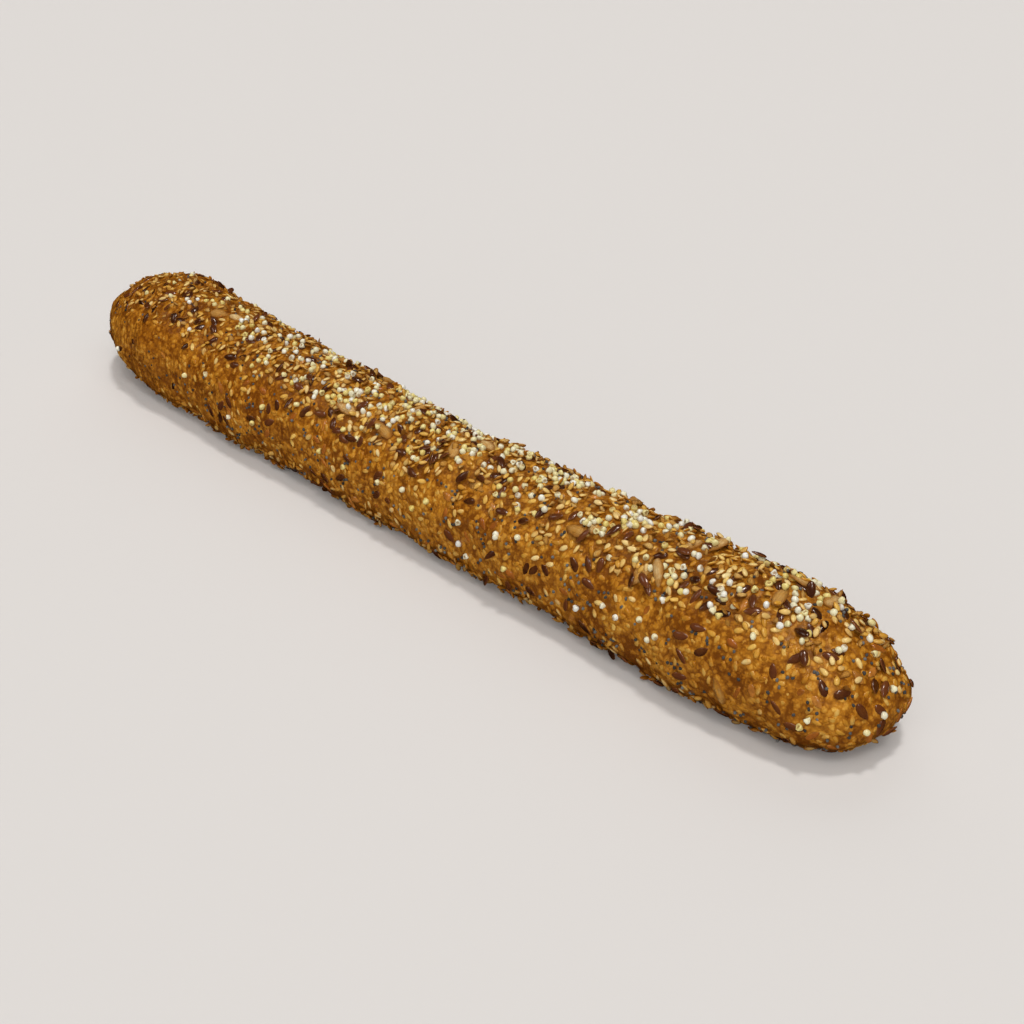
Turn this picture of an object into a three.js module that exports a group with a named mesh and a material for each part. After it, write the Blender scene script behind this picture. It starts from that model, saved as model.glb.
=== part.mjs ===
// Multigrain baguette: one slim, hand-rolled stick loaf, baked on its own flat sole.
//
// Millimetres, +Z up. The loaf lies along X on the plane z = 0, with its round heel towards -X
// and its blunt nose towards +X. The surface is the height that its coat of small seeds averages.

import * as THREE from 'three';

// Driving dimensions of the plain run, between the two ends.
const LOAF_LENGTH = 336; // tip to tip
const PLAIN_WIDTH = 37.5; // side to side
const PLAIN_HEIGHT = 33.5; // sole to ridge
const WIDEST_HEIGHT = 15; // how far above the sole the sides bulge most
const SOLE_SINK = 2.2; // depth of rounded underside that baking pressed flat
const UNDERSIDE_SQUARENESS = 2.5; // superellipse exponent below the widest line; 2 is an ellipse
const BOW = 3; // how far the middle lies towards -Y of the line between the tips

// Where rolling left the dough thicker: position, reach and gain over the plain run.
const SWELLS = [
  { at: -150, reach: 87, gain: 0.17 }, // the fat end before the heel
  { at: 138, reach: 46, gain: 0.06 }, // the bulge behind the nose
];

// The two ends. Each falls away from the plain run over its length: plan rounds it as seen from
// above, back along the ridge and belly along the underside. A larger exponent is a blunter curve.
const HEEL = { length: 44, plan: 2, back: 1.85, belly: 1.85, tipHeight: 14.5, tipShift: -0.8 };
const NOSE = { length: 39, plan: 3, back: 1.8, belly: 2.3, tipHeight: 11.5, tipShift: 1 };

// Slow lumps left by hands and proving: along and around are waves per loaf and per turn.
const LUMPS = [
  { height: 0.35, along: 3.5, around: 1, phase: 3.2 },
  { height: 0.25, along: 5.5, around: 2, phase: 2.3 },
  { height: 0.2, along: 10, around: 1, phase: 0.6 },
  { height: 0.15, along: 15, around: 3, phase: 2.9 },
];

// Facets.
const END_RINGS = 16;
const PLAIN_RINGS = 55;
const RING_SIDES = 48;

const TURN = 2 * Math.PI;
const HALF_LENGTH = LOAF_LENGTH / 2;

// One at the start of an end, nought at its tip.
function fallAway(share, exponent) {
  return Math.max(0, 1 - share ** exponent) ** (1 / exponent);
}

// Girth of the dough at a place along the loaf, as a multiple of the plain run's.
function girth(x) {
  const gains = SWELLS.map(({ at, reach, gain }) => gain * Math.exp(-(((x - at) / reach) ** 2)));
  return gains.reduce((sum, gain) => sum + gain, 1);
}

// The heel or the nose, and how far into it a place is: 0 on the plain run, 1 at the tip.
function endAt(x) {
  const end = x < 0 ? HEEL : NOSE;
  const share = (Math.abs(x) - (HALF_LENGTH - end.length)) / end.length;
  return { end, share: THREE.MathUtils.clamp(share, 0, 1) };
}

// The cross-section at a place along the loaf: its centre, half width, ridge, underside and
// the height at which it is widest.
function sectionAt(x) {
  const { end, share } = endAt(x);
  const size = girth(x);
  const ridge = end.tipHeight + (PLAIN_HEIGHT * size - end.tipHeight) * fallAway(share, end.back);
  const underside = end.tipHeight - (end.tipHeight + SOLE_SINK) * fallAway(share, end.belly);
  const widest = THREE.MathUtils.lerp(WIDEST_HEIGHT * size, end.tipHeight, share ** 2);
  return {
    x,
    y: -BOW * (1 - (x / HALF_LENGTH) ** 2) + end.tipShift * share ** 2,
    halfWidth: (PLAIN_WIDTH / 2) * size * fallAway(share, end.plan),
    ridge,
    underside,
    widest: THREE.MathUtils.clamp(widest, underside, ridge),
    girthLeft: fallAway(share, 2),
  };
}

// Height of the slow lumps over the even shape, fading out towards the tips.
function lump(section, angle) {
  const turned = (TURN * section.x) / LOAF_LENGTH;
  const heights = LUMPS.map(
    ({ height, along, around, phase }) => height * Math.sin(along * turned + around * angle + phase),
  );
  return section.girthLeft * heights.reduce((sum, height) => sum + height, 0);
}

// A superellipse's cosine or sine, with its sign kept.
function squared(value, exponent) {
  return Math.sign(value) * Math.abs(value) ** (2 / exponent);
}

// A point on the skin. The angle runs from +Y, over the ridge, to -Y and back along the sole.
function skinPoint(section, angle) {
  const across = Math.cos(angle);
  const up = Math.sin(angle);
  const exponent = up < 0 ? UNDERSIDE_SQUARENESS : 2;
  const reachUp = up < 0 ? section.widest - section.underside : section.ridge - section.widest;
  const bulge = lump(section, angle);
  const y = section.y + section.halfWidth * squared(across, exponent) + bulge * across;
  const z = section.widest + reachUp * squared(up, exponent) + bulge * up;
  return [section.x, y, Math.max(0, z)];
}

// How far a ring of an end lies from the tip. Rings count up from the tip, where they are closest.
function fromTip(end, ring) {
  return end.length * (1 - Math.cos((ring / END_RINGS) * (Math.PI / 2)));
}

// Places of the rings along the loaf, from heel to nose.
function ringPlaces() {
  const places = [];
  for (let ring = 1; ring <= END_RINGS; ring += 1) {
    places.push(-HALF_LENGTH + fromTip(HEEL, ring));
  }
  for (let ring = 1; ring < PLAIN_RINGS; ring += 1) {
    const [start, end] = [-HALF_LENGTH + HEEL.length, HALF_LENGTH - NOSE.length];
    places.push(THREE.MathUtils.lerp(start, end, ring / PLAIN_RINGS));
  }
  for (let ring = END_RINGS; ring >= 1; ring -= 1) {
    places.push(HALF_LENGTH - fromTip(NOSE, ring));
  }
  return places;
}

// One closed skin: a point at each tip, rings between them, faces outwards.
function loafGeometry() {
  const places = ringPlaces();
  const positions = [];
  for (const x of places) {
    const section = sectionAt(x);
    for (let side = 0; side < RING_SIDES; side += 1) {
      positions.push(...skinPoint(section, (side / RING_SIDES) * TURN));
    }
  }
  const heelTip = places.length * RING_SIDES;
  const noseTip = heelTip + 1;
  positions.push(...skinPoint(sectionAt(-HALF_LENGTH), 0), ...skinPoint(sectionAt(HALF_LENGTH), 0));

  const faces = [];
  const lastRing = (places.length - 1) * RING_SIDES;
  for (let side = 0; side < RING_SIDES; side += 1) {
    const next = (side + 1) % RING_SIDES;
    faces.push(heelTip, next, side);
    faces.push(noseTip, lastRing + side, lastRing + next);
    for (let ring = 0; ring < lastRing; ring += RING_SIDES) {
      const [a, b] = [ring + side, ring + next];
      const [c, d] = [a + RING_SIDES, b + RING_SIDES];
      faces.push(a, b, d, a, d, c);
    }
  }

  const geometry = new THREE.BufferGeometry();
  geometry.setAttribute('position', new THREE.Float32BufferAttribute(positions, 3));
  geometry.setIndex(faces);
  standOnOrigin(geometry);
  geometry.computeVertexNormals();
  return geometry;
}

// Puts the origin under the middle of the loaf's box, on the plane that it rests on.
function standOnOrigin(geometry) {
  geometry.computeBoundingBox();
  const middle = geometry.boundingBox.getCenter(new THREE.Vector3());
  geometry.translate(-middle.x, -middle.y, -geometry.boundingBox.min.z);
}

// Baked crust: warm brown, a little shiny where the glaze holds the seeds.
const crust = new THREE.MeshStandardMaterial({ color: '#966428', roughness: 0.55, metalness: 0 });

const loaf = new THREE.Mesh(loafGeometry(), crust);
loaf.name = 'loaf';

const baguette = new THREE.Group();
baguette.add(loaf);

export default baguette;
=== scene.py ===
# %% [markdown]
# # A multigrain baguette
# The real loaf is a rope of dough that was rolled by hand, turned in wet seeds and baked on its own
# sole. Its looks come from thousands of small things: a glossy brown crust, and sesame, linseed,
# millet, poppy seeds and sunflower kernels that are stuck on it and half baked into it.
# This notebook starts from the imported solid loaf, which gives the size and the shape, and makes the
# crust and every seed as real mesh on it. Sizes are in millimetres until they go into a mesh, which
# is in metres. +Z is up, and the nose points to +X.

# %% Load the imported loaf
import math

import bpy
import numpy as np
from mathutils import Matrix, Vector, noise
from mathutils.kdtree import KDTree


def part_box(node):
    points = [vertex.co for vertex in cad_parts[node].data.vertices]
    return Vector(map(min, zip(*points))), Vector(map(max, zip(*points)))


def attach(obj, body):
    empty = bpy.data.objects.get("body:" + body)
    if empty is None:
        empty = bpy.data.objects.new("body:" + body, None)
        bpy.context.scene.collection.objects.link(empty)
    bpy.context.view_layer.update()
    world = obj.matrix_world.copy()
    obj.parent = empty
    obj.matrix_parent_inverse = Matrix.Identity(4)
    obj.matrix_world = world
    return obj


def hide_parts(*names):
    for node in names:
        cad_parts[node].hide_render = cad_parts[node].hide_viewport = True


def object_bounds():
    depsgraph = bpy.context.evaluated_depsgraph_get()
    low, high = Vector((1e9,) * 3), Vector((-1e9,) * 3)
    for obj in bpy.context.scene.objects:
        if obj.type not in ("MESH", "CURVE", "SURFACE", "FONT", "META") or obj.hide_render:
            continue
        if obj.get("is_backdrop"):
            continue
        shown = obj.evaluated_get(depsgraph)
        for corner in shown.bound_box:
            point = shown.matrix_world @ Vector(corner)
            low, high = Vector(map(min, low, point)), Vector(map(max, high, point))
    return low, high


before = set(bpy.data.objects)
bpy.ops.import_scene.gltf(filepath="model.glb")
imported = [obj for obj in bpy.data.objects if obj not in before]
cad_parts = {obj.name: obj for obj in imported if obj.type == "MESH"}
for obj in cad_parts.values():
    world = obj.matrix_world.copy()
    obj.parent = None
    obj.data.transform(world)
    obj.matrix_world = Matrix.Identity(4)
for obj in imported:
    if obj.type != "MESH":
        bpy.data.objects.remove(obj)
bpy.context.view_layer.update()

MM = 0.001
loaf_low, loaf_high = (np.array(corner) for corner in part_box("loaf"))
print("The loaf measures, in mm:", np.round((loaf_high - loaf_low) / MM, 1))

# %% [markdown]
# ## The skin of the dough
# A CAD solid arrives as loose flat triangles, a few millimetres wide. The crust needs a fine and even
# mesh, so that seeds can be pressed into it. It could be subdivided, but long thin triangles
# subdivide badly. A Remesh modifier in voxel mode gives even faces of the size asked for, and a Smooth
# modifier then takes the facets away. Both are worked out into a plain mesh at once.

# %% Join the solid's loose triangles into one closed skin
SAME_PLACE = 7  # decimals of a metre: corners that agree this far are one corner


def merged_copy(node_name):
    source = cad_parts[node_name].data
    corners = np.array([vertex.co for vertex in source.vertices])
    places, index = np.unique(np.round(corners, SAME_PLACE), axis=0, return_inverse=True)
    faces = index.reshape(-1)[np.array([face.vertices[:] for face in source.polygons])]
    mesh = bpy.data.meshes.new(node_name + "_skin")
    mesh.from_pydata(places.tolist(), [], faces.tolist())
    return mesh


skin_object = bpy.data.objects.new("skin", merged_copy("loaf"))
bpy.context.scene.collection.objects.link(skin_object)
print("The closed skin has", len(skin_object.data.vertices), "corners")

# %% Remesh and smooth it
CRUST_GRAIN = 0.76 * MM  # width of one face of the crust
SMOOTHING = 0.5  # how far a round moves each corner towards its neighbours
SMOOTHING_ROUNDS = 14


def worked_out(thing):
    """The mesh that an object's modifiers make, as plain data. The object itself is then removed."""
    graph = bpy.context.evaluated_depsgraph_get()
    mesh = bpy.data.meshes.new_from_object(thing.evaluated_get(graph))
    bpy.data.objects.remove(thing)
    return mesh


remesh = skin_object.modifiers.new("even faces", "REMESH")
remesh.mode = "VOXEL"
remesh.voxel_size = CRUST_GRAIN
smooth = skin_object.modifiers.new("no facets", "SMOOTH")
smooth.factor = SMOOTHING
smooth.iterations = SMOOTHING_ROUNDS
crust_mesh = worked_out(skin_object)
crust_mesh.name = "crust"
print("The crust has", len(crust_mesh.polygons), "faces")

# %% Read the skin into arrays, in millimetres
def read(collection, what, kind=np.float32):
    """A row of three numbers for each thing in a collection, such as the place of each corner."""
    values = np.empty(len(collection) * 3, kind)
    collection.foreach_get(what, values)
    return values.reshape(-1, 3)


crust_mesh.calc_loop_triangles()
skin = read(crust_mesh.vertices, "co").astype(float) / MM
skin_out = read(crust_mesh.vertex_normals, "vector").astype(float)
triangles = read(crust_mesh.loop_triangles, "vertices", np.int32)
print("The skin is held as", len(skin), "corners and", len(triangles), "triangles")

# %% [markdown]
# ## Hand-rolled waves
# The solid loaf is even, and it ends at the mean height of the seeds. So the crust is sunk a little
# to make room for them, and pushed in and out in slow waves, as dough that hands have rolled. The
# sole baked flat on the board: there is no coat on it, and it stays where it is. The waves could be
# sculpted, but a noise that drifts slowly from place to place gives them by rule, and the same noise
# later says where seeds gather.

# %% Helpers for slow changes
NOISE_GAIN = 1.6  # brings the noise to between about -1 and 1
APART = (17.3, 5.1)  # from one pattern of the noise to the next


def fade(value, start, end):
    """0 at start, 1 at end, smooth in between."""
    share = np.clip((value - start) / (end - start), 0, 1)
    return share * share * (3 - 2 * share)


def fade_at(value, start, end):
    """The same fade for one plain number."""
    return float(fade(value, start, end))


def drift(place, size, which):
    """A slow random value from about -1 to 1. Places nearer than size have like values."""
    pattern = Vector((which * APART[0], which * APART[1], 0))
    return noise.noise(Vector(place) / size + pattern) * NOISE_GAIN


print("A quarter of the way along, a fade is at", fade_at(0.25, 0, 1))

# %% The top, the ends and the sole
TOP_REACH = 46  # degrees from the ridge to the edge of the second coat
TOP_WANDER = 9  # degrees that this edge wanders, in long bends and again in short ones
LONG_BEND, SHORT_BEND = 14, 5  # millimetres
TOP_BLUR = 9  # degrees over which the second coat thins out
TIPS = (128, 168)  # it thins towards the tips as well, this far from the middle of the loaf
THIN_AT_TIPS = 0.75  # the share of it that is missing at a tip
SOLE_TOP = 1.2  # millimetres; the sole is lower than this
FACING_DOWN = -0.8  # the upward part of a direction out of the sole is less than this


def tilt_of(out):
    """Degrees from straight up to a direction out of the crust."""
    return math.degrees(math.acos(max(-1.0, min(1.0, out[2]))))


def topness(place, out):
    """1 on the back of the loaf, where the second coat lies, 0 on its sides."""
    bends = TOP_WANDER * drift(place, LONG_BEND, 1), TOP_WANDER * drift(place, SHORT_BEND, 2)
    edge = TOP_REACH + bends[0] + bends[1]
    on_top = fade_at(tilt_of(out), edge + TOP_BLUR, edge - TOP_BLUR)
    return on_top * (1 - THIN_AT_TIPS * fade_at(abs(place[0]), *TIPS))


def sole_here(place, out):
    return place[2] < SOLE_TOP and out[2] < FACING_DOWN


print("Halfway along the ridge, topness is", topness((0, 0, 33), (0, 0, 1)))

# %% Sink the crust under its coat and make it wavy
COAT = 0.3  # millimetres from the bare crust to the mean height of the seeds
TOP_COAT = 0.7  # the same on the back, where the seeds lie in layers
TURN_TO_SOLE = (0.5, 0.95)  # how far down the crust faces where it turns into the sole
SOLE_EDGE = 2.5  # the sole's flatness fades out over this height
FOOT = (10, 5)  # below these heights nothing hides the crust, so it isn't sunk
WAVES = ((24, 0.3), (9, 0.5))  # millimetres from crest to crest, and high

soleness = fade(-skin_out[:, 2], *TURN_TO_SOLE) * fade(skin[:, 2], SOLE_EDGE, 0)
waves = np.array([
    sum(height * drift(place, size, size) for size, height in WAVES) for place in skin.tolist()
])
toast = np.array([topness(place, out) for place, out in zip(skin.tolist(), skin_out.tolist())])
foot = fade(skin[:, 2], *FOOT)
sunk = waves - COAT * (1 - foot) - (TOP_COAT - COAT) * toast
skin += skin_out * (sunk * (1 - soleness))[:, None]
skin[:, 2] = np.maximum(skin[:, 2], 0)
crust_mesh.vertices.foreach_set("co", (skin * MM).astype(np.float32).ravel())
crust_mesh.update()
skin_out = read(crust_mesh.vertex_normals, "vector").astype(float)
print("Share of the crust that is sole:", round(float(np.mean(soleness > 0.5)), 3))

# %% [markdown]
# ## Where seeds fall
# The loaf was rolled in a mix of seeds and its back was pressed in once more: the top has a second
# coat, with most of the millet in it, and the sides have one thin coat that the glaze half covers.
# A seed's place is a dart thrown at the crust. Darts are spread evenly by picking triangles by their
# area, and each kind of seed has a rule for how many of its darts stick at a place.

# %% Throw darts at the crust
LAYOUT = 20  # another number lays the same mix of seeds another way
rng = np.random.default_rng(LAYOUT)

corner, second_corner, third_corner = skin[triangles].transpose(1, 0, 2)
areas = np.linalg.norm(np.cross(second_corner - corner, third_corner - corner), axis=1) / 2
crust_area = float(areas.sum())
area_steps = np.cumsum(areas) / crust_area
print("The crust's area, in square mm:", round(crust_area))


def darts(count):
    """Even random places on the crust, with the direction out of it at each."""
    hit = triangles[np.searchsorted(area_steps, rng.random(count))]
    a, b = rng.random((2, count, 1))
    a, b = np.where(a + b > 1, 1 - a, a), np.where(a + b > 1, 1 - b, b)
    share = np.concatenate([1 - a - b, a, b], axis=1)[:, :, None]
    places = (skin[hit] * share).sum(axis=1)
    outs = (skin_out[hit] * share).sum(axis=1)
    return places, outs / np.linalg.norm(outs, axis=1)[:, None]


# %% [markdown]
# ## The kinds of seed
# Each seed covers a few round spots of crust in a row along its length: one for a round grain, two
# for sesame and four for a sunflower kernel. Two seeds of one coat don't share a spot. This is far
# quicker than testing real meshes against each other, and as good for things this small.

# %% One record for each kind
class Seed:
    """A kind of seed: its length, width and thickness in millimetres, and how it lies.

    pressed is the least and the most share of its thickness that the dough has swallowed, tumble
    how unevenly it lies in radians, room the radius of a spot as a share of its width, and knobs how
    far its uneven skin stands out, in millimetres.
    """

    def __init__(self, length, width, thick, spots, pressed, shapes=1, tumble=0.1, room=0.46, knobs=0.05):
        self.length, self.width, self.thick = length, width, thick
        self.pressed, self.shapes, self.tumble, self.knobs = pressed, shapes, tumble, knobs
        self.radius = width * room
        reach = max(0.0, length / 2 - self.radius)
        self.spots = np.linspace(-reach, reach, spots) if spots > 1 else np.zeros(1)
        self.placed = []


sunflower = Seed(8.0, 3.5, 1.4, spots=4, pressed=(0.3, 0.6), shapes=3, knobs=0.12)
kernel_chip = Seed(3.0, 1.9, 0.7, spots=2, pressed=(0.1, 0.4), shapes=3, tumble=0.4, knobs=0.12)
brown_linseed = Seed(4.6, 2.35, 1.05, spots=3, pressed=(0.1, 0.6), tumble=0.16)
golden_linseed = Seed(4.0, 2.1, 1.0, spots=3, pressed=(0.3, 0.7))
sesame = Seed(2.85, 1.65, 0.85, spots=2, pressed=(0.1, 0.5), tumble=0.18)
glazed_sesame = Seed(2.8, 1.65, 0.85, spots=2, pressed=(0.68, 0.95), tumble=0.12, room=0.42)
millet = Seed(2.05, 1.75, 1.7, spots=1, pressed=(0.15, 0.4), shapes=3, tumble=1.0)
poppy = Seed(1.05, 0.95, 0.85, spots=1, pressed=(0.3, 0.65), tumble=1.0)
print("The spots under a sunflower kernel lie at", np.round(sunflower.spots, 1), "mm along it")

# %% Remember what covers each spot, in a grid of cells
CELL = 3.0  # millimetres; spots that touch are never further apart than this
SNUG = 0.86  # how near two spots may come, as a share of their radii
OVERHANG = 0.3  # share of its radius by which a spot may hang past the seed that carries it
covered = {}


def cell_of(place):
    return tuple(int(math.floor(value / CELL)) for value in place)


def spots_near(place):
    i, j, k = cell_of(place)
    for a in (i - 1, i, i + 1):
        for b in (j - 1, j, j + 1):
            for c in (k - 1, k, k + 1):
                yield from covered.get((a, b, c), ())


def height_below(place, radius, coat):
    """Height of the seeds of lower coats under a spot, or None where its own coat is full."""
    height = 0.0
    for x, y, z, its_radius, top, its_coat in spots_near(place):
        gap_squared = (x - place[0]) ** 2 + (y - place[1]) ** 2 + (z - place[2]) ** 2
        if its_coat == coat:
            if gap_squared < (SNUG * (its_radius + radius)) ** 2:
                return None
        elif its_coat < coat:
            reach = its_radius + OVERHANG * radius
            if gap_squared < reach * reach:
                height = max(height, top * math.sqrt(1 - gap_squared / (reach * reach)))
    return height


# %% Lay one seed down
SIZE_SPREAD = 0.07  # how much seeds of one kind differ, as a share of their size
SIZE_LIMITS = (0.82, 1.18)
FOOTHOLD = 0.7  # share of its length that lies between the two ends that a seed rests on
LEAST_FOOTHOLD = 1.0  # millimetres
RESTLESS = 0.6  # how much more the seeds of each further coat tip and roll
STAND_UP = 0.05  # share of seeds with one end well off the crust
STAND_UP_TILT = (0.2, 0.45)  # radians
FAT_END = (-70, -130)  # along the loaf: seeds lie deeper from here on, fully so at the second place
DEEPER_AT_FAT_END = 0.25  # by this share of their thickness
TOASTING = 0.4  # how far apart the shades of seeds are, besides what being pressed in adds


def lay(kind, place, out, coat, highest):
    """Puts a seed of a kind at a place, on what lies there already, if there is room."""
    place, out = Vector(place), Vector(out)
    along = out.orthogonal().normalized()
    along.rotate(Matrix.Rotation(rng.random() * math.tau, 3, out))
    size = rng.normal(1, SIZE_SPREAD, 3).clip(*SIZE_LIMITS)
    spots = [place + along * (shift * size[0]) for shift in kind.spots]
    heights = [height_below(spot, kind.radius, coat) for spot in spots]
    if any(height is None or height > highest for height in heights):
        return
    tilt = math.atan2(heights[-1] - heights[0], max(kind.length * FOOTHOLD, LEAST_FOOTHOLD))
    restless = kind.tumble * (1 + RESTLESS * max(0, coat))
    tilt += rng.normal(0, restless)
    if rng.random() < STAND_UP and len(spots) > 1:
        tilt += rng.uniform(*STAND_UP_TILT) * rng.choice((-1, 1))
    across = out.cross(along)
    along.rotate(Matrix.Rotation(-tilt, 3, across))
    up = along.cross(across)
    up.rotate(Matrix.Rotation(rng.normal(0, restless), 3, along))
    across = up.cross(along)
    pressed = rng.uniform(*kind.pressed) + DEEPER_AT_FAT_END * fade_at(place.x, *FAT_END)
    lift = max(heights) + kind.thick * (0.5 - pressed)
    centre = place + out * lift
    halves = (kind.length / 2 * size[0], kind.width / 2 * size[1], kind.thick / 2 * size[2])
    reach_down = math.hypot(*(axis.z * half for axis, half in zip((along, across, up), halves)))
    lowest = centre.z - reach_down - kind.knobs
    if lowest < 0:
        centre.z -= lowest
    top = lift + kind.thick / 2
    for spot in spots:
        covered.setdefault(cell_of(spot), []).append((*spot, kind.radius, top, coat))
    kind.placed.append({
        "place": tuple(centre),
        "turn": tuple(Matrix((along, across, up)).transposed().to_euler()),
        "size": tuple(size),
        "shade": 1 - (1 - rng.random()) * (TOASTING + pressed),
        "shape": int(rng.integers(kind.shapes)),
        "coat": coat,
        "ground": place,
        "along": along,
        "across": across,
    })


# %% Scatter a kind by its rule
def scatter(kind, per_square_mm, rule, coat, highest=0.5):
    """Throws darts of a kind: rule(place, out) is the share of them that stick at a place."""
    before = len(kind.placed)
    places, outs = darts(int(per_square_mm * crust_area))
    for place, out in zip(places.tolist(), outs.tolist()):
        if rng.random() < rule(place, out):
            lay(kind, place, out, coat, highest)
    return len(kind.placed) - before


# %% [markdown]
# ## The first coat
# These seeds were on the dough before it rose, so they lie flat and are pressed in. On the sides
# most of the sesame has sunk into the glaze, and only its back shows. Each rule below is the share of
# darts that stick at a place: numbers after a fade are where it starts and ends, in millimetres, and
# each drift has a pattern of its own, so that every kind gathers elsewhere.

# %% Where fewer seeds stuck
BARE_NOSE = (125, 145)  # along the loaf: the underside of the nose is nearly bare from here on
BARE_UNDER = (9, 6)  # and below these heights
BARE = 0.75  # the share of seeds that is missing there
SMOOTH_END = (-120, -30)  # along the loaf: towards the heel the dough rose more and shows more


def lip(place, out):
    """Few seeds stuck on the underside of the nose."""
    if out[2] <= FACING_DOWN:
        return 1
    return 1 - BARE * float(fade(place[0], *BARE_NOSE) * fade(place[2], *BARE_UNDER))


def fewer_at_fat_end(place, least):
    return least + (1 - least) * fade_at(place[0], *SMOOTH_END)


print("At the heel, a rule that halves there gives", fewer_at_fat_end((-168, 0, 15), 0.5))

# %% Rules of the first coat
def kernels_rule(place, out):
    return 0.1 + 0.9 * topness(place, out)


def linseed_rule(place, out):
    """In clumps, most on the back and towards the nose."""
    clumps = 0.4 + 1.5 * drift(place, 9, 3)
    ends = 0.85 + 0.85 * fade_at(place[0], 90, 130) - 0.3 * fade_at(place[0], -40, -100)
    here = 0.25 if sole_here(place, out) else 0.4 + 0.6 * topness(place, out)
    return here * ends * clumps * lip(place, out)


def golden_rule(place, out):
    return 0.35 if sole_here(place, out) else 1


def sesame_rule(place, out):
    """In patches on the sides, most on the back, and again along the low edge."""
    low_edge = 0 if sole_here(place, out) else fade_at(place[2], 9, 3)
    side = (0.04 + 0.45 * drift(place, 9, 4)) * fewer_at_fat_end(place, 0.3)
    back = 0.6 * topness(place, out) * fewer_at_fat_end(place, 0.55)
    return (side + back + 0.4 * low_edge) * lip(place, out)


def drowned_rule(place, out):
    """Nearly everywhere on the sides, but for a few smooth patches of dough."""
    if sole_here(place, out):
        return 0.3
    seeded = fade_at(drift(place, 8, 11), -0.4, -0.05) * fewer_at_fat_end(place, 0.75) * lip(place, out)
    return seeded * (1 - 0.8 * topness(place, out))


# %% Scatter the first coat
LESS_DROWNED = (0.45, 0.82)  # sesame that came later sank less deep into the glaze

drowned = scatter(glazed_sesame, 0.4, drowned_rule, coat=-1)
glazed_sesame.pressed = LESS_DROWNED
first_coat = {
    "drowned sesame": drowned,
    "sunflower": scatter(sunflower, 0.0011, kernels_rule, coat=0),
    "brown linseed": scatter(brown_linseed, 0.054, linseed_rule, coat=0),
    "golden linseed": scatter(golden_linseed, 0.007, golden_rule, coat=0),
    "sesame": scatter(sesame, 0.24, sesame_rule, coat=0),
    "glazed sesame": scatter(glazed_sesame, 0.3, drowned_rule, coat=0),
}
print("The first coat:", first_coat)

# %% [markdown]
# ## The second coat
# On the back of the loaf more seeds lie on the first ones. Each end of a seed rests on whatever is
# under it, so it tips as a real one does. Poppy seeds roll into the gaps last.

# %% Rules of the second coat
def back_rule(place, out):
    return topness(place, out) * (0.75 + 0.9 * drift(place, 8, 5))


def shoulder_rule(place, out):
    """Linseeds slid off the ridge and lie thickest on the shoulders."""
    slid = 0.3 + 0.7 * fade_at(tilt_of(out), 8, 24)
    return back_rule(place, out) * slid * fewer_at_fat_end(place, 0.85)


def top_sesame_rule(place, out):
    return back_rule(place, out) * fewer_at_fat_end(place, 0.5)


def millet_rule(place, out):
    """In clumps along the ridge, thickest past the middle, with a stray grain on the upper sides."""
    clumps = 0.12 + 0.88 * fade_at(drift(place, 8, 6), -0.02, 0.38)
    ridge = fade_at(tilt_of(out), 50, 8)
    middle = (0.15 + 0.85 * fade_at(place[0], -120, 20)) * (1 - 0.35 * fade_at(place[0], 20, 90))
    stray = 0.0 if out[2] < -0.2 else 0.006 * fewer_at_fat_end(place, 0.2)
    return stray + ridge * middle * topness(place, out) * clumps


def skirt_rule(place, out):
    """Loose seeds that gathered along the foot of the loaf while it rested on the board."""
    at_foot = fade_at(place[2], 9, 4) if -0.85 < out[2] < 0.1 else 0
    return at_foot * max(0.0, 0.4 + 1.5 * drift(place, 6, 12)) * lip(place, out)


def poppy_rule(place, out):
    if sole_here(place, out):
        return 0.1
    return fewer_at_fat_end(place, 0.2) * max(0.06, 0.15 + 1.7 * drift(place, 5, 7))


# %% Scatter the second coat
second_coat = {
    "sunflower": scatter(sunflower, 0.0023, back_rule, coat=1, highest=1.3),
    "kernel chips": scatter(kernel_chip, 0.08, back_rule, coat=1, highest=1.3),
    "brown linseed": scatter(brown_linseed, 0.042, shoulder_rule, coat=1, highest=1.3),
    "millet": scatter(millet, 0.68, millet_rule, coat=1, highest=1.2),
    "sesame": scatter(sesame, 0.3, top_sesame_rule, coat=1, highest=1.2),
    "linseed on top": scatter(brown_linseed, 0.013, shoulder_rule, coat=2, highest=2.0),
    "millet on top": scatter(millet, 0.13, millet_rule, coat=2, highest=2.0),
    "sesame on top": scatter(sesame, 0.05, top_sesame_rule, coat=2, highest=2.0),
    "sesame skirt": scatter(sesame, 0.35, skirt_rule, coat=2, highest=1.5),
    "linseed skirt": scatter(brown_linseed, 0.03, skirt_rule, coat=2, highest=1.5),
    "golden linseed skirt": scatter(golden_linseed, 0.05, skirt_rule, coat=2, highest=1.5),
    "poppy": scatter(poppy, 0.15, poppy_rule, coat=3, highest=0.5),
}
print("The second coat:", second_coat)

# %% [markdown]
# ## The relief of the crust
# Dough rises round each seed that is pressed into it, and the glaze runs up against it. So the crust
# swells under every seed of the first coat, and fine wrinkles lie over it. A bump in the material
# would do for the wrinkles, but it has no outline and is lost where only the mesh is used. So it is
# real relief: the corners of the crust's mesh are moved, and how far is kept for the material.

# %% Swell the crust round the pressed seeds
crust_corners = KDTree(len(skin))
for index, place in enumerate(skin.tolist()):
    crust_corners.insert(place, index)
crust_corners.balance()
rise = np.zeros(len(skin))


def swell(seed, half_length, half_width, height):
    """Raises the crust in an oval about a seed, highest in its middle."""
    for place, index, _ in crust_corners.find_range(seed["ground"], half_length):
        away = place - seed["ground"]
        a, b = away.dot(seed["along"]) / half_length, away.dot(seed["across"]) / half_width
        inside = 1 - a * a - b * b
        if inside > 0:
            rise[index] = max(rise[index], height * math.sqrt(inside) * min(1.0, 2 * inside))


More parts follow.
